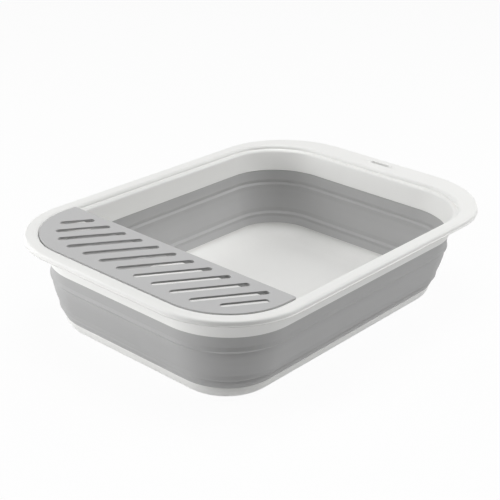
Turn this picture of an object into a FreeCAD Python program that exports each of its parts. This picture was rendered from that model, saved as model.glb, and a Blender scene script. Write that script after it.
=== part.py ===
"""Collapsible pet bathtub: a rim frame and a base tray joined by a folding wall, with a slotted shelf.

The frame has +Z up, +X towards the handle, and its origin on the ground under the middle of the basin.
Heights are measured from the ground. Every outline is a rounded rectangle. The wall gets narrower
towards the base, and the inset of an outline is how far it lies inside the wall's top outline.
"""
import FreeCAD, Part
import math
import os

import Sketcher

# Driving dimensions in millimetres, one cell of the spreadsheet each.
SIZES = [
    ("basin_length", 418.0, "outline of the wall where it hangs from the rim"),
    ("basin_width", 309.5, "the same, across"),
    ("basin_corner", 80.0, "its corner radius"),
    ("base_height", 19.4, "from the ground to the top of the base tray"),
    ("base_round", 17.5, "radius between the underside and the side of the base"),
    ("base_wall", 2.4, "thickness of the base tray"),
    ("lower_panel", 11.6, "height of the wall panel that stands on the base"),
    ("middle_panel", 35.0, "height of the panel between the two folds"),
    ("upper_panel", 16.5, "height of the panel that hangs from the rim"),
    ("lower_lean", 2.9, "how far the lower panel leans inwards over its height"),
    ("middle_lean", 3.9, "the same for the middle panel"),
    ("upper_lean", 2.0, "the same for the upper panel"),
    ("panel_wall", 2.4, "thickness of the soft wall"),
    ("panel_gap", 0.3, "clearance between two panels where they lap"),
    ("panel_lap", 1.0, "height of that lap"),
    ("panel_step", 0.8, "how far the soft wall is recessed behind the skirt"),
    ("rim_height", 30.5, "from the foot of the skirt to the top of the rim"),
    ("rim_wall", 2.4, "thickness of the rim moulding"),
    ("rim_flare_ends", 6.5, "how far the recess for the shelf lies outside the wall at the ends"),
    ("rim_flare_sides", 4.75, "the same at the long sides"),
    ("rebate_corner", 76.0, "corner radius of the recess"),
    ("rebate_depth", 4.6, "from the top of the rim down to the ledge"),
    ("ledge_width", 5.0, "width of the ledge"),
    ("bead_width", 15.5, "from the recess to the outer edge of the rim"),
    ("handle_depth", 33.5, "the same at the handle end"),
    ("handle_corner", 100.0, "corner radius of the rim at the handle end"),
    ("lip_height", 6.0, "how far the outer edge of the rim hangs down"),
    ("lip_round", 3.5, "radius along the top of that edge"),
    ("mouth_round", 3.6, "radius of the edge round the recess"),
    ("hang_slot_length", 26.0, "hanging slot in the handle"),
    ("hang_slot_width", 6.0, "the same, across"),
    ("hang_slot_corner", 2.5, "its corner radius"),
    ("hang_slot_inset", 15.0, "from the outer edge of the handle to the middle of the slot"),
    ("hang_collar_wall", 1.8, "thickness of the collar under the slot"),
    ("hang_collar_depth", 2.0, "height of that collar"),
    ("shelf_reach", 91.0, "how far the shelf covers the basin"),
    ("shelf_plate", 2.2, "thickness of the shelf"),
    ("shelf_depth", 4.5, "height of the shelf at its edge"),
    ("shelf_edge_wall", 2.2, "thickness of that edge"),
    ("shelf_play", 0.5, "clearance round the shelf in its recess"),
    ("shelf_seat", 0.3, "clearance between the shelf's edge and the ledge"),
    ("shelf_apron", 12.5, "height of the straight inner edge"),
    ("shelf_apron_wall", 2.2, "thickness of that inner edge"),
    ("shelf_apron_play", 2.0, "clearance between the ends of that inner edge and the ledge"),
    ("shelf_apron_corner", 0.8, "corner radius of those ends"),
    ("shelf_corner", 3.0, "corner radius where the straight edge meets the sides"),
    ("drain_slot_width", 7.5, "slots of the shelf"),
    ("drain_slot_pitch", 24.9, "from one slot to the next"),
    ("drain_slot_last_pitch", 19.5, "the same for the last, short slot"),
    ("drain_slot_last_start", 13.0, "how far behind the others the last slot starts"),
    ("drain_slot_angle", 33.3, "degrees between a slot and the length of the basin"),
    ("drain_slot_margin", 15.0, "from the shelf's outer edge to the end of a slot"),
    ("drain_slot_corner", 58.0, "corner radius of the line along which the slots end"),
    ("drain_slot_border", 9.5, "from the straight inner edge to the other end"),
    ("drain_slot_side", 42.0, "from the shelf's side to the inner end of the first slot"),
]
SLOT_END_STEP = 0.1     # how finely the ends of a slot are placed along it
TOLERANCE = 0.01

doc = FreeCAD.newDocument("pet_bathtub")
sheet = doc.addObject("Spreadsheet::Sheet", "Sizes")
for row, (alias, value, note) in enumerate(SIZES, start=1):
    sheet.set("A%d" % row, alias)
    sheet.set("B%d" % row, str(value))
    sheet.set("C%d" % row, note)
    sheet.setAlias("B%d" % row, alias)
doc.recompute()


def formula(text):
    """Turn '(basin_length / 2)' into the same formula on the cells of the spreadsheet."""
    aliases = {alias for alias, _, _ in SIZES}
    words = text.replace("(", "( ").replace(")", " )").split()
    return " ".join("Sizes." + word if word in aliases else word for word in words)


def size(text):
    """The number that a formula on the cells comes to."""
    return float(sheet.evalExpression(formula(text)))


# Heights, from the ground up.
BASE_TOP = "(base_height)"
LOWER_TOP = "(base_height + lower_panel)"
MIDDLE_TOP = "(base_height + lower_panel + middle_panel)"
SKIRT_FOOT = "(base_height + lower_panel + middle_panel + upper_panel)"
RIM_TOP = "(base_height + lower_panel + middle_panel + upper_panel + rim_height)"
LEDGE = "(%s - rebate_depth)" % RIM_TOP
DECK_UNDERSIDE = "(%s - rim_wall)" % RIM_TOP
SHELF_FOOT = "(%s + shelf_seat)" % LEDGE
SHELF_TOP = "(%s + shelf_depth)" % SHELF_FOOT
SHELF_PLATE_FOOT = "(%s - shelf_plate)" % SHELF_TOP

# Insets of the wall's outer face. Each panel passes outside the one below, with a clearance.
UPPER_HEAD = "(panel_step)"
UPPER_FOOT = "(%s + upper_lean)" % UPPER_HEAD
MIDDLE_HEAD = "(%s + panel_wall + panel_gap)" % UPPER_FOOT
MIDDLE_FOOT = "(%s + middle_lean)" % MIDDLE_HEAD
LOWER_HEAD = "(%s + panel_wall + panel_gap)" % MIDDLE_FOOT
LOWER_FOOT = "(%s + lower_lean)" % LOWER_HEAD


class Outline:
    """A rounded rectangle: four formulas for its sides, and two for its corner radii."""

    def __init__(self, tail, head, half_width, tail_corner, head_corner):
        self.tail = tail
        self.head = head
        self.half_width = half_width
        self.tail_corner = tail_corner
        self.head_corner = head_corner

    def shrunk(self, inset):
        """The outline that lies inside this one by an inset."""
        return Outline("(%s - %s)" % (self.tail, inset), "(%s - %s)" % (self.head, inset),
                       "(%s - %s)" % (self.half_width, inset),
                       "(%s - %s)" % (self.tail_corner, inset),
                       "(%s - %s)" % (self.head_corner, inset))


BASIN = Outline("(basin_length / 2)", "(basin_length / 2)", "(basin_width / 2)",
                "(basin_corner)", "(basin_corner)")
REBATE_END = "(basin_length / 2 + rim_flare_ends)"
REBATE_SIDE = "(basin_width / 2 + rim_flare_sides)"
REBATE = Outline(REBATE_END, REBATE_END, REBATE_SIDE, "(rebate_corner)", "(rebate_corner)")
RIM_EDGE = Outline("(%s + bead_width)" % REBATE_END, "(%s + handle_depth)" % REBATE_END,
                   "(%s + bead_width)" % REBATE_SIDE, "(rebate_corner + bead_width)",
                   "(handle_corner)")
SHELF_TAIL = "(%s - shelf_play)" % REBATE_END
SHELF_INNER_EDGE = "(%s - shelf_reach)" % SHELF_TAIL
SHELF = Outline(SHELF_TAIL, "(0 - %s)" % SHELF_INNER_EDGE, "(%s - shelf_play)" % REBATE_SIDE,
                "(rebate_corner - shelf_play)", "(shelf_corner)")


def new_body(name):
    body = doc.addObject("PartDesign::Body", name)
    body.Label = name
    return body


def new_sketch(body, name, height):
    """A sketch on the body's own level origin plane, lifted to a height."""
    sketch = body.newObject("Sketcher::SketchObject", name)
    level_plane = [item for item in body.Origin.OriginFeatures if item.Role == "XY_Plane"][0]
    sketch.AttachmentSupport = [(level_plane, "")]
    sketch.MapMode = "FlatFace"
    sketch.setExpression(".AttachmentOffset.Base.z", formula(height))
    return sketch


def draw_outline(sketch, outline):
    """Add a rounded rectangle to a sketch and bind its sides and radii to the cells."""
    left, right = -size(outline.tail), size(outline.head)
    half = size(outline.half_width)
    tail_radius, head_radius = size(outline.tail_corner), size(outline.head_corner)
    up = FreeCAD.Vector(0, 0, 1)

    def point(x, y):
        return FreeCAD.Vector(x, y, 0)

    def corner(x, y, radius, first):
        circle = Part.Circle(point(x, y), up, radius)
        return Part.ArcOfCircle(circle, math.radians(first), math.radians(first + 90))

    start = sketch.GeometryCount
    sketch.addGeometry([
        Part.LineSegment(point(left + tail_radius, -half), point(right - head_radius, -half)),
        corner(right - head_radius, -half + head_radius, head_radius, -90),
        Part.LineSegment(point(right, -half + head_radius), point(right, half - head_radius)),
        corner(right - head_radius, half - head_radius, head_radius, 0),
        Part.LineSegment(point(right - head_radius, half), point(left + tail_radius, half)),
        corner(left + tail_radius, half - tail_radius, tail_radius, 90),
        Part.LineSegment(point(left, half - tail_radius), point(left, -half + tail_radius)),
        corner(left + tail_radius, -half + tail_radius, tail_radius, 180),
    ], False)
    for step in range(8):
        sketch.addConstraint(Sketcher.Constraint("Tangent", start + step, 2,
                                                 start + (step + 1) % 8, 1))
    for step, direction in ((0, "Horizontal"), (2, "Vertical"), (4, "Horizontal"), (6, "Vertical")):
        sketch.addConstraint(Sketcher.Constraint(direction, start + step))
    sketch.addConstraint(Sketcher.Constraint("Equal", start + 1, start + 3))
    sketch.addConstraint(Sketcher.Constraint("Equal", start + 5, start + 7))

    def bind(constraint, text):
        index = sketch.addConstraint(constraint)
        sketch.setExpression("Constraints[%d]" % index, formula(text))

    def bind_side(line, place, text):
        """Hold an upright side at a signed distance from the origin."""
        if place > 0:
            bind(Sketcher.Constraint("DistanceX", -1, 1, line, 1, place), text)
        else:
            bind(Sketcher.Constraint("DistanceX", line, 1, -1, 1, -place), "(0 - %s)" % text)

    bind(Sketcher.Constraint("DistanceY", start, 1, -1, 1, half), outline.half_width)
    bind(Sketcher.Constraint("DistanceY", -1, 1, start + 4, 1, half), outline.half_width)
    bind_side(start + 2, right, outline.head)
    bind_side(start + 6, left, "(0 - %s)" % outline.tail)
    bind(Sketcher.Constraint("Radius", start + 1, head_radius), outline.head_corner)
    bind(Sketcher.Constraint("Radius", start + 5, tail_radius), outline.tail_corner)


def outline_sketch(body, name, height, *outlines):
    """A sketch of one outline, or of a ring between two."""
    sketch = new_sketch(body, name, height)
    for outline in outlines:
        draw_outline(sketch, outline)
    return sketch


def pad(body, name, sketch, length):
    """Grow a sketch upwards by a length."""
    feature = body.newObject("PartDesign::Pad", name)
    feature.Profile = sketch
    feature.setExpression("Length", formula(length))
    return feature


def pocket(body, name, sketch, depth):
    """Cut a sketch downwards by a depth, and check that something was cut."""
    doc.recompute()
    before = body.Shape.Volume
    feature = body.newObject("PartDesign::Pocket", name)
    feature.Profile = sketch
    feature.setExpression("Length", formula(depth))
    doc.recompute()
    if body.Shape.Volume > before - TOLERANCE:
        raise RuntimeError("%s cuts nothing" % name)
    return feature


def loft(body, name, kind, foot, head):
    """A straight-sided loft between two sketches; kind is Additive or Subtractive."""
    feature = body.newObject("PartDesign::%sLoft" % kind, name)
    feature.Profile = foot
    feature.Sections = [head]
    feature.Ruled = True
    return feature


def round_edges(body, name, sketch, height, radius):
    """Fillet the level edges at a height that follow the outline of a sketch."""
    doc.recompute()
    base = body.Tip
    level = size(height)
    guide = sketch.Shape.copy()
    guide.translate(FreeCAD.Vector(0, 0, level - guide.BoundBox.ZMin))
    picked = []
    for number, edge in enumerate(base.Shape.Edges, start=1):
        middle = edge.valueAt((edge.FirstParameter + edge.LastParameter) / 2)
        if guide.distToShape(Part.Vertex(middle))[0] < TOLERANCE:
            picked.append("Edge%d" % number)
    feature = body.newObject("PartDesign::Fillet", name)
    feature.Base = (base, picked)
    feature.setExpression("Radius", formula(radius))
    doc.recompute()
    return feature


def base_tray():
    """The hard white tray that the tub stands on, with a broad round between floor and side."""
    body = new_body("base_tray")
    outside = BASIN.shrunk(LOWER_FOOT)
    foot = outline_sketch(body, "BaseOutline", "(0)", outside)
    pad(body, "BaseBlock", foot, BASE_TOP)
    inside = outline_sketch(body, "BaseInside", BASE_TOP, outside.shrunk("(base_wall)"))
    pocket(body, "BaseHollow", inside, "(base_height - base_wall)")
    round_edges(body, "FloorRound", inside, "(base_wall)", "(base_round - base_wall)")
    round_edges(body, "BaseRound", foot, "(0)", "(base_round)")
    return body


def wall_panel(name, foot_height, head_height, foot_inset, head_inset):
    """One panel of the soft wall: a tapered ring between two folds."""
    body = new_body(name)
    outer_foot = outline_sketch(body, name + "_outer_foot", foot_height, BASIN.shrunk(foot_inset))
    outer_head = outline_sketch(body, name + "_outer_head", head_height, BASIN.shrunk(head_inset))
    loft(body, name + "_outside", "Additive", outer_foot, outer_head)
    inner_foot = outline_sketch(body, name + "_inner_foot", foot_height,
                                BASIN.shrunk("(%s + panel_wall)" % foot_inset))
    inner_head = outline_sketch(body, name + "_inner_head", head_height,
                                BASIN.shrunk("(%s + panel_wall)" % head_inset))
    loft(body, name + "_inside", "Subtractive", inner_foot, inner_head)
    return body


def rim_frame():
    """The hard white rim: skirt, ledge and recess for the shelf, bead, handle and hanging slot."""
    body = new_body("rim_frame")
    shoulder_foot = "(%s - rim_wall)" % LEDGE
    skirt_foot = outline_sketch(body, "SkirtFoot", SKIRT_FOOT, BASIN)
    skirt_head = outline_sketch(body, "SkirtHead", shoulder_foot,
                                REBATE.shrunk("(ledge_width - rim_wall)"))
    loft(body, "Skirt", "Additive", skirt_foot, skirt_head)

    shoulder = outline_sketch(body, "ShoulderOutline", shoulder_foot, REBATE.shrunk("(0 - rim_wall)"))
    pad(body, "Shoulder", shoulder, "(rebate_depth)")
    deck = outline_sketch(body, "DeckOutline", DECK_UNDERSIDE, RIM_EDGE)
    pad(body, "Deck", deck, "(rim_wall)")
    lip = outline_sketch(body, "LipRing", "(%s - lip_height)" % RIM_TOP,
                         RIM_EDGE, RIM_EDGE.shrunk("(rim_wall)"))
    pad(body, "Lip", lip, "(lip_height - rim_wall)")

    slot_middle = "(%s - hang_slot_inset)" % RIM_EDGE.head
    slot = Outline("(hang_slot_width / 2 - %s)" % slot_middle,
                   "(hang_slot_width / 2 + %s)" % slot_middle,
                   "(hang_slot_length / 2)", "(hang_slot_corner)", "(hang_slot_corner)")
    collar = outline_sketch(body, "CollarOutline", "(%s - hang_collar_depth)" % DECK_UNDERSIDE,
                            slot.shrunk("(0 - hang_collar_wall)"))
    pad(body, "Collar", collar, "(hang_collar_depth)")
    slot_sketch = outline_sketch(body, "HangSlotOutline", RIM_TOP, slot)
    pocket(body, "HangSlot", slot_sketch, "(rim_wall + hang_collar_depth)")

    recess = outline_sketch(body, "RecessOutline", RIM_TOP, REBATE)
    pocket(body, "Recess", recess, "(rebate_depth)")
    inner_foot = outline_sketch(body, "MouthFoot", SKIRT_FOOT, BASIN.shrunk("(rim_wall)"))
    inner_head = outline_sketch(body, "MouthHead", LEDGE, REBATE.shrunk("(ledge_width)"))
    loft(body, "Mouth", "Subtractive", inner_foot, inner_head)

    round_edges(body, "LipRound", deck, RIM_TOP, "(lip_round)")
    round_edges(body, "RecessRound", recess, RIM_TOP, "(mouth_round)")
    return body


def drain_slot_ends():
    """The middle points of the two round ends of each slot of the shelf.

    A slot starts near the straight inner edge and runs outwards and sideways until it comes to the
    margin along the shelf's outer edge. As many are laid out as can start at the inner edge, and
    then a last, short one, which starts further back.
    """
    slope = math.tan(math.radians(size("drain_slot_angle")))
    half_slot = size("drain_slot_width") / 2
    margin = size("drain_slot_margin") + half_slot
    tail, half = size(SHELF.tail) - margin, size(SHELF.half_width) - margin
    radius = size("drain_slot_corner") - half_slot
    inner_x = -size(SHELF_INNER_EDGE) - size("drain_slot_border") - half_slot

    def inside(x, y):
        """Whether a point lies inside the margin's rounded outline."""
        over_x = max(0.0, -x - (tail - radius))
        over_y = max(0.0, abs(y) - (half - radius))
        return math.hypot(over_x, over_y) < radius

    def ends(y, late_start):
        """The first and last places inside the margin along a slot that is laid out from (inner_x, y)."""
        steps = int((tail + inner_x - late_start) / SLOT_END_STEP) + 1
        runs = [late_start + SLOT_END_STEP * step for step in range(steps)]
        places = [(inner_x - run, y + run * slope) for run in runs]
        held = [place for place in places if inside(*place)]
        return held[0], held[-1]

    slots = []
    y = size(SHELF.half_width) - size("drain_slot_side")
    while inside(inner_x, y):
        slots.append(ends(y, 0.0))
        y -= size("drain_slot_pitch")
    last_y = y + size("drain_slot_pitch") - size("drain_slot_last_pitch")
    slots.append(ends(last_y, size("drain_slot_last_start")))
    return slots


def drain_shelf():
    """The grey slotted shelf: a plate with a low edge that sits on the ledge, and a deep inner edge."""
    body = new_body("drain_shelf")
    plate = outline_sketch(body, "PlateOutline", SHELF_PLATE_FOOT, SHELF)
    pad(body, "Plate", plate, "(shelf_plate)")
    edge = outline_sketch(body, "EdgeRing", SHELF_FOOT, SHELF, SHELF.shrunk("(shelf_edge_wall)"))
    pad(body, "Edge", edge, "(shelf_depth - shelf_plate)")

    apron_side = "(%s - ledge_width - shelf_apron_play)" % REBATE_SIDE
    apron = Outline("(%s + shelf_apron_wall)" % SHELF_INNER_EDGE, "(0 - %s)" % SHELF_INNER_EDGE,
                    apron_side, "(shelf_apron_corner)", "(shelf_apron_corner)")
    apron_sketch = outline_sketch(body, "ApronOutline", "(%s - shelf_apron)" % SHELF_TOP, apron)
    pad(body, "Apron", apron_sketch, "(shelf_apron - shelf_plate)")

    slots = new_sketch(body, "DrainSlotOutlines", SHELF_TOP)
    half_slot = size("drain_slot_width") / 2
    up = FreeCAD.Vector(0, 0, 1)
    for inner, outer in drain_slot_ends():
        start, end = FreeCAD.Vector(*inner, 0), FreeCAD.Vector(*outer, 0)
        along = (end - start).normalize()
        side = FreeCAD.Vector(-along.y, along.x, 0) * half_slot
        turn = math.atan2(along.y, along.x)
        quarter = math.pi / 2
        slots.addGeometry([
            Part.LineSegment(start - side, end - side),
            Part.ArcOfCircle(Part.Circle(end, up, half_slot), turn - quarter, turn + quarter),
            Part.LineSegment(end + side, start + side),
            Part.ArcOfCircle(Part.Circle(start, up, half_slot), turn + quarter, turn + 3 * quarter),
        ], False)
    pocket(body, "DrainSlots", slots, "(shelf_plate)")
    return body


def check(body):
    """Stop if a body, or a feature in it, has failed."""
    for item in [body] + body.OutListRecursive:
        if "Invalid" in item.State or "Error" in item.State:
            raise RuntimeError("%s: %s has failed" % (body.Label, item.Name))
    if body.Shape.isNull() or not body.Shape.isValid():
        raise RuntimeError("%s has no valid shape" % body.Label)
    if len(body.Shape.Solids) != 1:
        raise RuntimeError("%s is not one solid" % body.Label)


sub_parts = [
    base_tray(),
    wall_panel("lower_wall_panel", BASE_TOP, "(%s + panel_lap)" % LOWER_TOP, LOWER_FOOT, LOWER_HEAD),
    wall_panel("middle_wall_panel", LOWER_TOP, "(%s + panel_lap)" % MIDDLE_TOP,
               MIDDLE_FOOT, MIDDLE_HEAD),
    wall_panel("upper_wall_panel", MIDDLE_TOP, SKIRT_FOOT, UPPER_FOOT, UPPER_HEAD),
    rim_frame(),
    drain_shelf(),
]
doc.recompute()
for sub_part in sub_parts:
    check(sub_part)

os.makedirs("parts", exist_ok=True)
for sub_part in sub_parts:
    sub_part.Shape.exportStep("parts/%s.step" % sub_part.Label)
    box = sub_part.Shape.BoundBox
    print("%-18s %9.0f mm3  %s" % (sub_part.Label, sub_part.Shape.Volume, box))
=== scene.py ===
import math

import bmesh
import bpy
import numpy as np
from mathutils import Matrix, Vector


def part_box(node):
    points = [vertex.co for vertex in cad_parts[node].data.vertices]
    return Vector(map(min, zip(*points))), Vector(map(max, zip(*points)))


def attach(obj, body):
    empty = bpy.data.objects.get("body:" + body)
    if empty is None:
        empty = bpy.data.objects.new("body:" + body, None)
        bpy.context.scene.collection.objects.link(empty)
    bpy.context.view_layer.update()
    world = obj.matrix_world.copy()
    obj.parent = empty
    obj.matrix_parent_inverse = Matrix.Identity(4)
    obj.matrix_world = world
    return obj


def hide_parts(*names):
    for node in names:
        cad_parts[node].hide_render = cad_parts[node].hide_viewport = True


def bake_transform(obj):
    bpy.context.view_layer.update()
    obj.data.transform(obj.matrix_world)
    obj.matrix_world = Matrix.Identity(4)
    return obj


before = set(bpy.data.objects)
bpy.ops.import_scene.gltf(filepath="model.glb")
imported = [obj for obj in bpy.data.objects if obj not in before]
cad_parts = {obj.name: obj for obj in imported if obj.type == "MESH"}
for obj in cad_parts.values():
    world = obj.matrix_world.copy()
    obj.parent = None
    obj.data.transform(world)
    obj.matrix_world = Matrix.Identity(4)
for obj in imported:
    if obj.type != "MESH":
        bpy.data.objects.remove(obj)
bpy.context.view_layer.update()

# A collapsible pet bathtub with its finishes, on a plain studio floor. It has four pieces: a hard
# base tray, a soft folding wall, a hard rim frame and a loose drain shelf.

MM = 0.001

# ---------------------------------------------------------------------------------------------
# Base tray. The hard white tray that the tub stands on, injection moulded in polypropylene, with a
# flat floor, a side that curves in under the tub, and a low ring underneath that it rests on. The
# soft wall is moulded onto its upper edge.

tray_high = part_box("base_tray")[1]
TRAY_END = tray_high.x - 1.6 * MM       # the outline lies a little inside the solid's box
TRAY_SIDE = tray_high.y - 2.1 * MM
TRAY_CORNER = 58.0 * MM
TRAY_TOP = tray_high.z                  # outer end of the seam with the soft wall
TRAY_INNER_TOP = TRAY_TOP - 3.4 * MM    # inner end of that seam, which lies lower
TRAY_EDGE = 0.4 * MM                    # bevel along the outer end
TRAY_FLOOR = 2.6 * MM                   # height of the floor's upper face
TRAY_WALL = 2.4 * MM
TRAY_CURVE = 24.6 * MM                  # how far the side curves in under the tub
TRAY_INNER_CURVE = 22.0 * MM
REST_RING_WIDTH = 11 * MM
REST_RING_HEIGHT = 0.9 * MM
REST_RING_LEAN = 0.7 * MM               # how far the ring's inner face leans in
FLAT_BORDER = 20 * MM                   # a flat strip round the single face that closes each end
CORNER_STEPS = 30
SIDE_STEPS = 12
FILLET_STEPS = 5
CURVE_STEPS = 16


def outline(tail, head, half_width, tail_corner, head_corner):
    """A rounded rectangle's five sizes in metres, with the handle's end as its head. A length added
    to them makes it that much larger all round."""
    return np.array([tail, head, half_width, tail_corner, head_corner])


TRAY_OUTLINE = outline(TRAY_END, TRAY_END, TRAY_SIDE, TRAY_CORNER, TRAY_CORNER)


def ring(shape, height):
    """Points round a rounded rectangle, the same number on every side and corner of every outline."""
    tail, head, half_width, tail_corner, head_corner = shape
    corners = [
        (head - head_corner, half_width - head_corner, head_corner),
        (tail_corner - tail, half_width - tail_corner, tail_corner),
        (tail_corner - tail, tail_corner - half_width, tail_corner),
        (head - head_corner, head_corner - half_width, head_corner),
    ]
    points = []
    for quarter, (x, y, radius) in enumerate(corners):
        turns = [math.pi / 2 * (quarter + step / CORNER_STEPS) for step in range(CORNER_STEPS + 1)]
        arc = [Vector((x + radius * math.cos(turn), y + radius * math.sin(turn), height))
               for turn in turns]
        if points:
            start = points[-1]
            points += [start.lerp(arc[0], step / SIDE_STEPS) for step in range(1, SIDE_STEPS)]
        points += arc
    end, start = points[-1], points[0]
    points += [end.lerp(start, step / SIDE_STEPS) for step in range(1, SIDE_STEPS)]
    return points


def rounded(corners):
    """A closed section: corners (across, up, radius) in turn, each rounded, with a point held close
    to each side of a round, so that the flats between them shade flat."""
    hold = 0.25 * MM
    section = []
    for number, (across, up, radius) in enumerate(corners):
        here = Vector((across, up))
        before = (Vector(corners[number - 1][:2]) - here).normalized()
        after = (Vector(corners[(number + 1) % len(corners)][:2]) - here).normalized()
        half_angle = before.angle(after) / 2
        reach = radius / math.tan(half_angle)
        centre = here + (before + after).normalized() * (radius / math.sin(half_angle))
        start = here + before * reach
        end = here + after * reach
        section.append(start + before * hold)
        for step in range(FILLET_STEPS + 1):
            spoke = (start - centre).lerp(end - centre, step / FILLET_STEPS)
            section.append(centre + spoke.normalized() * radius)
        section.append(end + after * hold)
    return section


def skin(name, rings, closed):
    """A mesh over a stack of rings: one that closes on itself, or a solid with a face at each end."""
    count = len(rings[0])
    points = [point for one in rings for point in one]
    bands = len(rings) if closed else len(rings) - 1
    faces = []
    for low in range(bands):
        high = (low + 1) % len(rings)
        for side in range(count):
            beside = (side + 1) % count
            faces.append((low * count + side, low * count + beside,
                          high * count + beside, high * count + side))
    if not closed:
        faces.append(tuple(reversed(range(count))))
        faces.append(tuple(range(len(points) - count, len(points))))
    mesh = bpy.data.meshes.new(name)
    mesh.from_pydata(points, [], faces)
    return clean(mesh)


def clean(mesh):
    """Turn every face outwards and shade it smooth."""
    work = bmesh.new()
    work.from_mesh(mesh)
    bmesh.ops.recalc_face_normals(work, faces=work.faces)
    work.to_mesh(mesh)
    work.free()
    mesh.shade_smooth()
    return mesh


def piece(name, mesh, material):
    """Put a finished mesh into the scene with its material."""
    made = bpy.data.objects.new(name, mesh)
    bpy.context.collection.objects.link(made)
    mesh.materials.clear()
    mesh.materials.append(material)
    return made


def linear(hex_colour):
    """An sRGB hex colour as linear red, green, blue and alpha."""
    channels = [int(hex_colour[start:start + 2], 16) / 255 for start in (1, 3, 5)]
    return [c / 12.92 if c <= 0.04045 else ((c + 0.055) / 1.055) ** 2.4 for c in channels] + [1.0]


def add_node(tree, kind, inputs=None, **settings):
    """Add a node to a tree. An input is given a value, or another node's output to link to."""
    made = tree.nodes.new(kind)
    for name, value in settings.items():
        setattr(made, name, value)
    for name, value in (inputs or {}).items():
        if isinstance(value, bpy.types.NodeSocket):
            tree.links.new(value, made.inputs[name])
        else:
            made.inputs[name].default_value = value
    return made


def moulded(name, colour, shade, roughness, grain, grain_depth, shine=0.5):
    """A moulded plastic or rubber: one colour right through with a faint cloudiness, and the fine
    spark-eroded grain of the mould, which breaks up its gloss. Grain is its size in metres, drawn
    at six or seven times the real 0.15 mm so that it shows. Shine is the specular level, 0.5 for a
    plain surface and lower for a dull one."""
    cloud_size = 70 * MM
    gloss_spread = 0.05
    refraction = 1.49           # polypropylene and the soft elastomers alike
    material = bpy.data.materials.new(name)
    material.use_nodes = True
    tree = material.node_tree
    shader = tree.nodes["Principled BSDF"]
    place = add_node(tree, "ShaderNodeTexCoord").outputs["Object"]
    cloud = add_node(tree, "ShaderNodeTexNoise",
                     {"Vector": place, "Scale": 1 / cloud_size, "Detail": 2.0})
    # A mix node's colours are its inputs 6 and 7, and its output 2.
    tone = add_node(tree, "ShaderNodeMix", {"Factor": cloud.outputs["Fac"], 6: linear(colour),
                                            7: linear(shade)}, data_type="RGBA")
    pits = add_node(tree, "ShaderNodeTexNoise",
                    {"Vector": place, "Scale": 1 / grain, "Detail": 3.0, "Roughness": 0.6})
    gloss = add_node(tree, "ShaderNodeMapRange",
                     {"Value": pits.outputs["Fac"], "To Min": roughness - gloss_spread,
                      "To Max": roughness + gloss_spread})
    bump = add_node(tree, "ShaderNodeBump",
                    {"Height": pits.outputs["Fac"], "Distance": grain_depth, "Strength": 1.0})
    tree.links.new(tone.outputs[2], shader.inputs["Base Color"])
    tree.links.new(gloss.outputs["Result"], shader.inputs["Roughness"])
    tree.links.new(bump.outputs["Normal"], shader.inputs["Normal"])
    shader.inputs["IOR"].default_value = refraction
    shader.inputs["Specular IOR Level"].default_value = shine
    return material


# Satin white polypropylene: soft, fairly bright highlights.
white_polypropylene = moulded("polypropylene_white_satin", "#F3F3F1", "#F0F0EE",
                              0.48, 0.9 * MM, 0.012 * MM)


def curve_in(across, height):
    """(inset, height) from the side of the tray down and in to its floor, along a quarter ellipse."""
    turns = [math.pi / 2 * step / CURVE_STEPS for step in range(CURVE_STEPS + 1)]
    return [(across * (1 - math.cos(turn)), height * (1 - math.sin(turn))) for turn in turns]


inside = TRAY_OUTLINE - TRAY_WALL
inside_curve = curve_in(TRAY_INNER_CURVE, TRAY_INNER_TOP - TRAY_FLOOR)
inside_rest_ring = TRAY_OUTLINE - TRAY_CURVE - REST_RING_WIDTH
tray_rings = [ring(inside - TRAY_INNER_CURVE - FLAT_BORDER, TRAY_FLOOR)]
tray_rings += [ring(inside - inset, TRAY_FLOOR + height)
               for inset, height in reversed(inside_curve)]
tray_rings += [ring(TRAY_OUTLINE - TRAY_EDGE, TRAY_TOP)]
tray_rings += [ring(TRAY_OUTLINE - inset, height)
               for inset, height in curve_in(TRAY_CURVE, TRAY_TOP - TRAY_EDGE)]
tray_rings += [ring(inside_rest_ring, 0.0),
               ring(inside_rest_ring - REST_RING_LEAN, REST_RING_HEIGHT),
               ring(inside_rest_ring - FLAT_BORDER, REST_RING_HEIGHT)]
base_tray = piece("base_tray_moulding", skin("base_tray_moulding", tray_rings, closed=False),
                  white_polypropylene)
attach(base_tray, "base")
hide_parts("base_tray")

# ---------------------------------------------------------------------------------------------
# Folding wall. One moulding of soft grey elastomer, bonded to the tray below and to the rim above.
# Two thin fold lines, each a groove beside a small bead, part it into three panels; pressing the
# rim down turns the middle panel over between the other two.

wall_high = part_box("upper_wall_panel")[1]
WALL_TOP = wall_high.z
WALL_RISE = WALL_TOP - TRAY_TOP
WALL_END = wall_high.x + 1.0 * MM       # at its top, where it stands a little outside the solid's box
WALL_SIDE = wall_high.y + 0.45 * MM
WALL_SHELF_CORNER = 79.7 * MM
WALL_HANDLE_CORNER = 75.0 * MM
WALL_TOP_OUTLINE = outline(WALL_END, WALL_END, WALL_SIDE, WALL_SHELF_CORNER, WALL_HANDLE_CORNER)
FOLD_STEP = 1.0 * MM                    # between the points of its section, so that it bends evenly
# The wall's section from the tray upwards, in mm: height above the tray's edge, how far the outer
# face stands outside a straight wall there, the thickness, and the radius of the bend.
WALL_SECTION = [
    (-0.1, 0.2, 2.7, 0.3), (5.2, 1.6, 2.0, 5.0), (8.5, 0.1, 1.0, 1.2), (11.2, 3.3, 2.6, 1.0),
    (16.0, 2.3, 1.8, 6.0), (30.0, 3.2, 1.7, 60.0), (39.5, 2.9, 1.7, 20.0), (44.8, 1.0, 1.0, 1.5),
    (47.6, 3.5, 2.4, 1.0), (51.4, 0.9, 1.6, 2.5), (63.6, -0.9, 1.7, 0.3),
]


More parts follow.
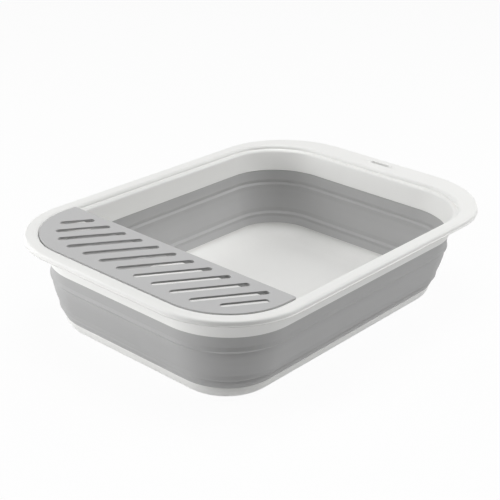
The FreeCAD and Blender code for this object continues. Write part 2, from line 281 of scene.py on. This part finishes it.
def finer(section, step):
    """The same closed section with points added so that none are further apart than a step."""
    points = []
    for number, here in enumerate(section):
        after = section[(number + 1) % len(section)]
        count = max(1, math.ceil((after - here).length / step))
        points += [here.lerp(after, part / count) for part in range(count)]
    return points


def wall_outline(across, height):
    """The outline that lies a distance outside the straight wall at a height above the tray."""
    share = height / WALL_RISE
    return TRAY_OUTLINE * (1 - share) + WALL_TOP_OUTLINE * share + across


outer_face = [(out * MM, up * MM, bend * MM) for up, out, _, bend in WALL_SECTION]
inner_face = [((out - thick) * MM, up * MM, bend * MM) for up, out, thick, bend in WALL_SECTION]
# The foot laps the tray's edge a little, at the outer and the inner end of the seam alike.
foot_out, seam_lap, foot_bend = inner_face[0]
inner_face[0] = (foot_out, TRAY_INNER_TOP - TRAY_TOP + seam_lap, foot_bend)
wall_section = finer(rounded(outer_face + inner_face[::-1]), FOLD_STEP)
wall_rings = [ring(wall_outline(across, up), TRAY_TOP + up) for across, up in wall_section]

# Matt grey thermoplastic elastomer: a dry, slightly dusty surface with hardly any highlight.
grey_elastomer = moulded("elastomer_grey_matt", "#B6B6B6", "#B0B0B0",
                         0.62, 1.1 * MM, 0.02 * MM)
folding_wall = piece("folding_wall", skin("folding_wall", wall_rings, closed=True),
                     grey_elastomer)
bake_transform(folding_wall)
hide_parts("lower_wall_panel", "middle_wall_panel", "upper_wall_panel")

# ---------------------------------------------------------------------------------------------
# Rim frame. One hard white moulding that stiffens the mouth of the tub: a skirt bonded to the soft
# wall, a ledge and recess for the shelf, a rolled bead all round, and a wider handle at one end.

rim_low, rim_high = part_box("rim_frame")
shelf_low, shelf_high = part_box("drain_shelf")
RIM_TOP = rim_high.z
RIM_CORNER = 91.5 * MM
HANDLE_CORNER = 100 * MM
RIM_OUTLINE = outline(-rim_low.x, rim_high.x, rim_high.y, RIM_CORNER, HANDLE_CORNER)
RECESS_END = 0.5 * MM - shelf_low.x     # it leaves a narrow gap round the shelf
RECESS_SIDE = 0.4 * MM + shelf_high.y
RECESS_CORNER = 76 * MM
RECESS_OUTLINE = outline(RECESS_END, RECESS_END, RECESS_SIDE, RECESS_CORNER, RECESS_CORNER)
RECESS_DEPTH = 4.6 * MM
LEDGE_TOP = RIM_TOP - RECESS_DEPTH
BEAD_WIDTH = RIM_OUTLINE[2] - RECESS_OUTLINE[2]
SHOULDER = 3 * MM       # next to the recess and at its lip, the bead keeps its shape at the handle
LIP_WIDTH = 5 * MM
SKIRT_FOOT = 6.3 * MM   # the skirt's outer foot is this far inside the recess, on the wall's outline
RIM_STEP = 2.5 * MM     # between the points of its section
# The section of the rim where the bead is narrowest, in mm: across from the recess, height from the
# top of the rim, and the radius of the corner.
lip_edge = BEAD_WIDTH / MM
ledge = -RECESS_DEPTH / MM
RIM_SECTION = [
    (-SKIRT_FOOT / MM, -30.5, 0.5), (-2.6, -7.4, 1.6), (2.4, -6.5, 1.6), (2.8, -2.7, 1.2),
    (12.7, -2.7, 1.4), (13.2, -5.8, 0.6), (lip_edge + 0.6, -6.1, 0.5),
    (lip_edge + 0.5, -5.0, 0.4), (lip_edge - 0.3, -4.4, 0.3), (lip_edge - 0.4, -0.1, 2.3),
    (7.0, 0.0, 30.0), (0.1, -0.1, 3.3), (0.0, ledge, 0.5), (-5.0, ledge, 3.4), (-9.1, -29.6, 0.5),
]


def rim_outline(across, height):
    """The outline a distance outside the recess. Below the ledge it turns into the wall's."""
    low = max(0.0, min(1.0, (LEDGE_TOP - height) / (LEDGE_TOP - WALL_TOP)))
    start = RECESS_OUTLINE * (1 - low) + (WALL_TOP_OUTLINE + SKIRT_FOOT) * low
    if across <= SHOULDER:
        return start + across
    if across >= BEAD_WIDTH - LIP_WIDTH:
        return RIM_OUTLINE + (across - BEAD_WIDTH)
    share = (across - SHOULDER) / (BEAD_WIDTH - LIP_WIDTH - SHOULDER)
    return (start + SHOULDER) * (1 - share) + (RIM_OUTLINE - LIP_WIDTH) * share


rim_section = finer(rounded([(across * MM, RIM_TOP + up * MM, radius * MM)
                             for across, up, radius in RIM_SECTION]), RIM_STEP)
rim_rings = [ring(rim_outline(across, height), height) for across, height in rim_section]
rim_body = piece("rim_body", skin("rim_body", rim_rings, closed=True), white_polypropylene)

# The hanging slot goes through the middle of the handle, inside a thin raised collar. The hole in
# the handle runs under the collar, to the middle of its width.
HANGER_MIDDLE = rim_high.x - 15 * MM
HANGER_HALF_WIDTH = 3 * MM
HANGER_HALF_LENGTH = 13 * MM
HANGER_CORNER = 2.5 * MM
HANGER_OUTLINE = outline(HANGER_HALF_WIDTH - HANGER_MIDDLE, HANGER_HALF_WIDTH + HANGER_MIDDLE,
                         HANGER_HALF_LENGTH, HANGER_CORNER, HANGER_CORNER)
COLLAR_WIDTH = 1.8 * MM
CUTTER_REACH = 8 * MM
# The collar's section, in mm: across from the slot, height from the top of the rim, and radius.
COLLAR_SECTION = [(0.0, -4.4, 0.3), (COLLAR_WIDTH / MM, -4.4, 0.3), (COLLAR_WIDTH / MM, 0.35, 0.5),
                  (0.0, 0.45, 0.7)]


def finished(made):
    """The plain mesh of an object with its modifiers applied. The object itself is removed."""
    graph = bpy.context.evaluated_depsgraph_get()
    mesh = bpy.data.meshes.new_from_object(made.evaluated_get(graph))
    bpy.data.objects.remove(made)
    return mesh


cutter_rings = [ring(HANGER_OUTLINE + COLLAR_WIDTH / 2, RIM_TOP - CUTTER_REACH),
                ring(HANGER_OUTLINE + COLLAR_WIDTH / 2, RIM_TOP + CUTTER_REACH)]
cutter = piece("slot_cutter", skin("slot_cutter", cutter_rings, closed=False),
               white_polypropylene)
cut = rim_body.modifiers.new("slot", "BOOLEAN")
cut.operation = "DIFFERENCE"
cut.solver = "EXACT"
cut.object = cutter
rim_mesh = finished(rim_body)
bpy.data.objects.remove(cutter)


def joined(name, meshes):
    """Several closed meshes as one."""
    work = bmesh.new()
    for mesh in meshes:
        work.from_mesh(mesh)
    made = bpy.data.meshes.new(name)
    work.to_mesh(made)
    work.free()
    made.shade_smooth()
    return made


collar_section = rounded([(across * MM, RIM_TOP + up * MM, radius * MM)
                          for across, up, radius in COLLAR_SECTION])
collar = skin("slot_collar", [ring(HANGER_OUTLINE + across, height)
                              for across, height in collar_section], closed=True)
rim_frame = piece("rim_frame_moulding", joined("rim_frame_moulding", [rim_mesh, collar]),
                  white_polypropylene)
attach(rim_frame, "rim")
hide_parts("rim_frame")

# ---------------------------------------------------------------------------------------------
# Drain shelf. A loose grey polypropylene plate that drops into the recess at the end opposite the
# handle. Slanting slots let water through; a low edge rests on the ledge, and a deeper straight
# edge stiffens it across the tub.

SHELF_TOP = shelf_high.z
SHELF_CORNER = 75.5 * MM
SHELF_INNER_CORNER = 1.5 * MM
SHELF_PLATE = 2.2 * MM
SHELF_ROUND = 0.7 * MM          # on every edge of the plate
EDGE_DEPTH = 4.5 * MM
EDGE_WALL = 2.2 * MM
EDGE_INSET = 0.1 * MM           # the low edge starts this far inside the plate's outline
EDGE_ROUND = 0.6 * MM
EDGE_ROOT_ROUND = 0.2 * MM
APRON_WALL = 2.2 * MM           # the deep straight edge
APRON_SIDE = shelf_high.y - 6.6 * MM
APRON_CORNER = 1.0 * MM
APRON_ROUND = 0.5 * MM
SLOTS = 12
SLOT_WIDTH = 7.5 * MM
SLOT_ANGLE = math.radians(33.3)
SLOT_PITCH = 24.9 * MM
LAST_SLOT_PITCH = 20.2 * MM
FIRST_SLOT = shelf_high.y - 42.0 * MM
LAST_SLOT_START = 1.0 * MM      # the last slot starts this much further from the straight edge
SLOT_BORDER = 9.5 * MM          # plain border between the slots and the straight edge
SLOT_MARGIN = 13.5 * MM         # plain border between the slots and the shelf's outer edge,
LAST_SIDE_MARGIN = 10.0 * MM    # and beside the last slot, where it is narrower
FIRST_MARGIN_CORNER = 71.0 * MM
LAST_MARGIN_CORNER = 66.0 * MM


def slot_runs():
    """The middle and length of each slot: from near the straight edge out to the plain border."""
    stride = 0.1 * MM
    half_slot = SLOT_WIDTH / 2
    tail = -shelf_low.x - SLOT_MARGIN - half_slot
    inner = shelf_high.x - SLOT_BORDER - half_slot
    runs = []
    side = FIRST_SLOT
    for number in range(SLOTS):
        late = LAST_SLOT_START if number == SLOTS - 1 else 0.0
        inside_border = []
        for step in range(int((tail + inner - late) / stride) + 1):
            run = late + stride * step
            x, y = inner - run, side + run * math.tan(SLOT_ANGLE)
            margin = SLOT_MARGIN if y > 0 else LAST_SIDE_MARGIN
            margin_corner = FIRST_MARGIN_CORNER if y > 0 else LAST_MARGIN_CORNER
            radius = margin_corner - half_slot
            past_x = max(0.0, -x - (tail - radius))
            past_y = max(0.0, abs(y) - (shelf_high.y - margin - half_slot - radius))
            if math.hypot(past_x, past_y) < radius:
                inside_border.append(Vector((x, y, SHELF_TOP)))
        start, end = inside_border[0], inside_border[-1]
        runs.append(((start + end) / 2, (end - start).length + SLOT_WIDTH))
        side -= LAST_SLOT_PITCH if number == SLOTS - 2 else SLOT_PITCH
    return runs


def slotted_plate_tree():
    """Geometry Nodes for a flat plate with rounded corners and a slot at each point of the mesh.
    A slot's length is its point's own 'slot_length'. Also gives each input's identifier."""
    corner_steps = 40
    slot_end_steps = 8
    nearly_half = 0.499         # of the width, so that the two rounds of a slot's end don't meet
    weld = 0.01 * MM
    tree = bpy.data.node_groups.new("slotted_plate", "GeometryNodeTree")
    sockets = {}
    sizes = ("Middle", "Length", "Width", "Top", "Thickness", "Outer corner", "Inner corner",
             "Slot width", "Slot angle")
    kinds = [("Geometry", "Geometry")] + [(size, "Float") for size in sizes]
    for name, kind in kinds + [("Material", "Material")]:
        socket = tree.interface.new_socket(name, in_out="INPUT", socket_type="NodeSocket" + kind)
        sockets[name] = socket.identifier
    tree.interface.new_socket("Geometry", in_out="OUTPUT", socket_type="NodeSocketGeometry")
    given = add_node(tree, "NodeGroupInput").outputs

    plate = add_node(tree, "GeometryNodeCurvePrimitiveQuadrilateral",
                     {"Width": given["Length"], "Height": given["Width"]})
    place = add_node(tree, "ShaderNodeCombineXYZ", {"X": given["Middle"], "Z": given["Top"]})
    position = add_node(tree, "GeometryNodeInputPosition").outputs[0]
    along = add_node(tree, "ShaderNodeSeparateXYZ", {"Vector": position}).outputs["X"]
    at_outer_end = add_node(tree, "FunctionNodeCompare", {"A": along, "B": 0.0},
                            data_type="FLOAT", operation="LESS_THAN")
    corner = add_node(tree, "GeometryNodeSwitch", {
        "Switch": at_outer_end.outputs[0], "False": given["Inner corner"],
        "True": given["Outer corner"]}, input_type="FLOAT")
    plate = add_node(tree, "GeometryNodeFilletCurve", {
        "Curve": plate.outputs[0], "Radius": corner.outputs[0], "Count": corner_steps},
        mode="POLY")
    plate = add_node(tree, "GeometryNodeSetPosition", {
        "Geometry": plate.outputs[0], "Offset": place.outputs[0]})

    unit = add_node(tree, "GeometryNodeCurvePrimitiveQuadrilateral", {"Width": 1.0, "Height": 1.0})
    own_length = add_node(tree, "GeometryNodeInputNamedAttribute", {"Name": "slot_length"},
                          data_type="FLOAT")
    stretch = add_node(tree, "ShaderNodeCombineXYZ", {
        "X": own_length.outputs["Attribute"], "Y": given["Slot width"], "Z": 1.0})
    turn = add_node(tree, "ShaderNodeCombineXYZ", {"Z": given["Slot angle"]})
    slots = add_node(tree, "GeometryNodeInstanceOnPoints", {
        "Points": given["Geometry"], "Instance": unit.outputs[0], "Rotation": turn.outputs[0],
        "Scale": stretch.outputs[0]})
    slots = add_node(tree, "GeometryNodeRealizeInstances", {"Geometry": slots.outputs[0]})
    end_round = add_node(tree, "ShaderNodeMath", {0: given["Slot width"], 1: nearly_half},
                         operation="MULTIPLY")
    slots = add_node(tree, "GeometryNodeFilletCurve", {
        "Curve": slots.outputs[0], "Radius": end_round.outputs[0], "Count": slot_end_steps},
        mode="POLY")

    both = add_node(tree, "GeometryNodeJoinGeometry")
    tree.links.new(plate.outputs[0], both.inputs[0])
    tree.links.new(slots.outputs[0], both.inputs[0])
    top = add_node(tree, "GeometryNodeFillCurve", {"Curve": both.outputs[0]}, mode="NGONS")
    lift = add_node(tree, "ShaderNodeCombineXYZ", {"Z": given["Top"]})
    level = add_node(tree, "GeometryNodeSetPosition", {
        "Geometry": top.outputs[0], "Offset": lift.outputs[0]})
    down = add_node(tree, "ShaderNodeMath", {0: given["Thickness"], 1: -1.0}, operation="MULTIPLY")
    depth = add_node(tree, "ShaderNodeCombineXYZ", {"Z": down.outputs[0]})
    walls = add_node(tree, "GeometryNodeExtrudeMesh", {
        "Mesh": level.outputs[0], "Offset": depth.outputs[0], "Individual": False}, mode="FACES")
    walls = add_node(tree, "GeometryNodeFlipFaces", {"Mesh": walls.outputs[0]})
    shell = add_node(tree, "GeometryNodeJoinGeometry")
    tree.links.new(walls.outputs[0], shell.inputs[0])
    tree.links.new(level.outputs[0], shell.inputs[0])
    whole = add_node(tree, "GeometryNodeMergeByDistance", {
        "Geometry": shell.outputs[0], "Distance": weld})
    whole = add_node(tree, "GeometryNodeRealizeInstances", {"Geometry": whole.outputs[0]})
    whole = add_node(tree, "GeometryNodeSetMaterial", {
        "Geometry": whole.outputs[0], "Material": given["Material"]})
    add_node(tree, "NodeGroupOutput", {"Geometry": whole.outputs[0]})
    return tree, sockets


# Matt grey polypropylene, a shade lighter than the wall. The grain leaves it so dull that it stays
# grey even seen along the surface towards a lamp.
grey_polypropylene = moulded("polypropylene_grey_matt", "#C6C6C6", "#C2C2C2",
                             0.68, 1.0 * MM, 0.015 * MM, shine=0.2)

runs = slot_runs()
points = bpy.data.meshes.new("slot_places")
points.from_pydata([middle for middle, _ in runs], [], [])
lengths = points.attributes.new("slot_length", "FLOAT", "POINT")
lengths.data.foreach_set("value", [length for _, length in runs])
plate = piece("slotted_plate", points, grey_polypropylene)
tree, sockets = slotted_plate_tree()
nodes = plate.modifiers.new("slotted_plate", "NODES")
nodes.node_group = tree
for name, value in (("Middle", (shelf_low.x + shelf_high.x) / 2),
                    ("Length", shelf_high.x - shelf_low.x), ("Width", 2 * shelf_high.y),
                    ("Top", SHELF_TOP), ("Thickness", SHELF_PLATE), ("Outer corner", SHELF_CORNER),
                    ("Inner corner", SHELF_INNER_CORNER), ("Slot width", SLOT_WIDTH),
                    ("Slot angle", -SLOT_ANGLE), ("Material", grey_polypropylene)):
    nodes[sockets[name]] = value
bevel = plate.modifiers.new("edges", "BEVEL")
bevel.width = SHELF_ROUND
bevel.segments = 3
bevel.limit_method = "ANGLE"
bevel.angle_limit = math.radians(50)
plate_mesh = finished(plate)

# The low edge and the deep straight one both start inside the thickness of the plate.
inside_plate = SHELF_TOP - SHELF_PLATE / 2
edge_low = SHELF_TOP - EDGE_DEPTH
edge_outline = outline(-shelf_low.x, shelf_high.x, shelf_high.y, SHELF_CORNER,
                       SHELF_INNER_CORNER) - EDGE_INSET
edge_section = rounded([(0.0, edge_low, EDGE_ROUND), (0.0, inside_plate, EDGE_ROOT_ROUND),
                        (-EDGE_WALL, inside_plate, EDGE_ROOT_ROUND),
                        (-EDGE_WALL, edge_low, EDGE_ROUND)])
edge_mesh = skin("shelf_edge", [ring(edge_outline + across, height)
                                for across, height in edge_section], closed=True)
apron_outline = outline(APRON_WALL - shelf_high.x, shelf_high.x, APRON_SIDE,
                        APRON_CORNER, APRON_CORNER)
apron_rings = [ring(apron_outline - APRON_ROUND, shelf_low.z),
               ring(apron_outline - 0.3 * APRON_ROUND, shelf_low.z + 0.3 * APRON_ROUND),
               ring(apron_outline, shelf_low.z + APRON_ROUND),
               ring(apron_outline, inside_plate)]
apron_mesh = skin("shelf_apron", apron_rings, closed=False)
drain_shelf = piece("drain_shelf_moulding",
                    joined("drain_shelf_moulding", [plate_mesh, edge_mesh, apron_mesh]),
                    grey_polypropylene)
drain_shelf.modifiers.new("flat_faces", "WEIGHTED_NORMAL")
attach(drain_shelf, "shelf")
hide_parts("drain_shelf")

# ---------------------------------------------------------------------------------------------
# Studio. A table of white paper that runs out to white and glows faintly, three soft boxes (low at
# the shelf's end, higher at the long side, and overhead), and a long lens that looks down on the
# corner between them.

FLOOR_REACH = 6.0               # metres from the tub to each edge of the floor
FLOOR_LIGHT = 0.1               # share of the floor's surface that glows, for the tub and for the eye
FLOOR_SEEN = 0.95
SKY_LIGHT = 0.06                # strength of the air's light, for the tub and for the eye
SKY_SEEN = 1.0
LAMP_AIM = Vector((0, 0, 50)) * MM
CAMERA_TARGET = Vector((-4.5, 3.9, 71.3)) * MM
CAMERA_AZIMUTH = math.radians(-49.25)
CAMERA_ELEVATION = math.radians(24.42)
CAMERA_DISTANCE = 1284.5 * MM
CAMERA_ROLL = math.radians(1.637)
CAMERA_LENS = 82.65             # this and the sensor's width are in millimetres
CAMERA_SENSOR = 36


def seen(tree, hidden, shown):
    """One value for the eye, which sees it directly, mirrored in a gloss or through glass, and
    another, hidden from the eye, for the light that falls on the tub."""
    rays = add_node(tree, "ShaderNodeLightPath").outputs
    either = add_node(tree, "ShaderNodeMath", {0: rays["Is Camera Ray"], 1: rays["Is Glossy Ray"]})
    any_of = add_node(tree, "ShaderNodeMath", {0: either.outputs[0], 1: rays["Is Transmission Ray"]},
                      use_clamp=True)
    return add_node(tree, "ShaderNodeMapRange", {
        "Value": any_of.outputs[0], "To Min": hidden, "To Max": shown}).outputs["Result"]


floor_mesh = bpy.data.meshes.new("studio_floor")
floor_corners = [(-FLOOR_REACH, -FLOOR_REACH, 0), (FLOOR_REACH, -FLOOR_REACH, 0),
                 (FLOOR_REACH, FLOOR_REACH, 0), (-FLOOR_REACH, FLOOR_REACH, 0)]
floor_mesh.from_pydata(floor_corners, [], [(0, 1, 2, 3)])
floor_paint = bpy.data.materials.new("studio_paper_white")
floor_paint.use_nodes = True
floor_tree = floor_paint.node_tree
paper = floor_tree.nodes["Principled BSDF"]
paper.inputs["Base Color"].default_value = linear("#EEEEEE")
paper.inputs["Roughness"].default_value = 0.9
glow = add_node(floor_tree, "ShaderNodeEmission", {"Color": linear("#FFFFFF"), "Strength": 1.0})
surface = add_node(floor_tree, "ShaderNodeMixShader", {
    0: seen(floor_tree, FLOOR_LIGHT, FLOOR_SEEN), 1: paper.outputs[0], 2: glow.outputs[0]})
floor_tree.links.new(surface.outputs[0], floor_tree.nodes["Material Output"].inputs["Surface"])
floor = piece("studio_floor", floor_mesh, floor_paint)

world = bpy.data.worlds.new("studio")
bpy.context.scene.world = world
world.use_nodes = True
sky = world.node_tree
air = sky.nodes["Background"]
air.inputs["Color"].default_value = linear("#FFFFFF")
sky.links.new(seen(sky, SKY_LIGHT, SKY_SEEN), air.inputs["Strength"])


def lamp(name, place, size, watts):
    """A square soft box at a place in metres, aimed at the middle of the tub."""
    light = bpy.data.lights.new(name, "AREA")
    light.size = size
    light.energy = watts
    made = bpy.data.objects.new(name, light)
    made.location = place
    made.rotation_euler = (LAMP_AIM - Vector(place)).to_track_quat("-Z", "Y").to_euler()
    bpy.context.collection.objects.link(made)


lamp("soft_box_left", (-1.28, 1.1, 0.5), size=1.0, watts=20)
lamp("soft_box_right", (1.0, -1.06, 1.1), size=1.0, watts=14)
lamp("soft_box_above", (0.08, 0.08, 1.9), size=1.3, watts=18)

camera = bpy.data.objects.new("camera", bpy.data.cameras.new("camera"))
bpy.context.collection.objects.link(camera)
bpy.context.scene.camera = camera
camera.data.sensor_width = CAMERA_SENSOR
camera.data.lens = CAMERA_LENS
back = Vector((math.sin(CAMERA_AZIMUTH) * math.cos(CAMERA_ELEVATION),
               -math.cos(CAMERA_AZIMUTH) * math.cos(CAMERA_ELEVATION),
               math.sin(CAMERA_ELEVATION)))
camera.location = CAMERA_TARGET + back * CAMERA_DISTANCE
camera.rotation_euler = back.to_track_quat("Z", "Y").to_euler()
camera.rotation_euler.rotate_axis("Z", CAMERA_ROLL)

bpy.context.scene.view_settings.view_transform = "Standard"
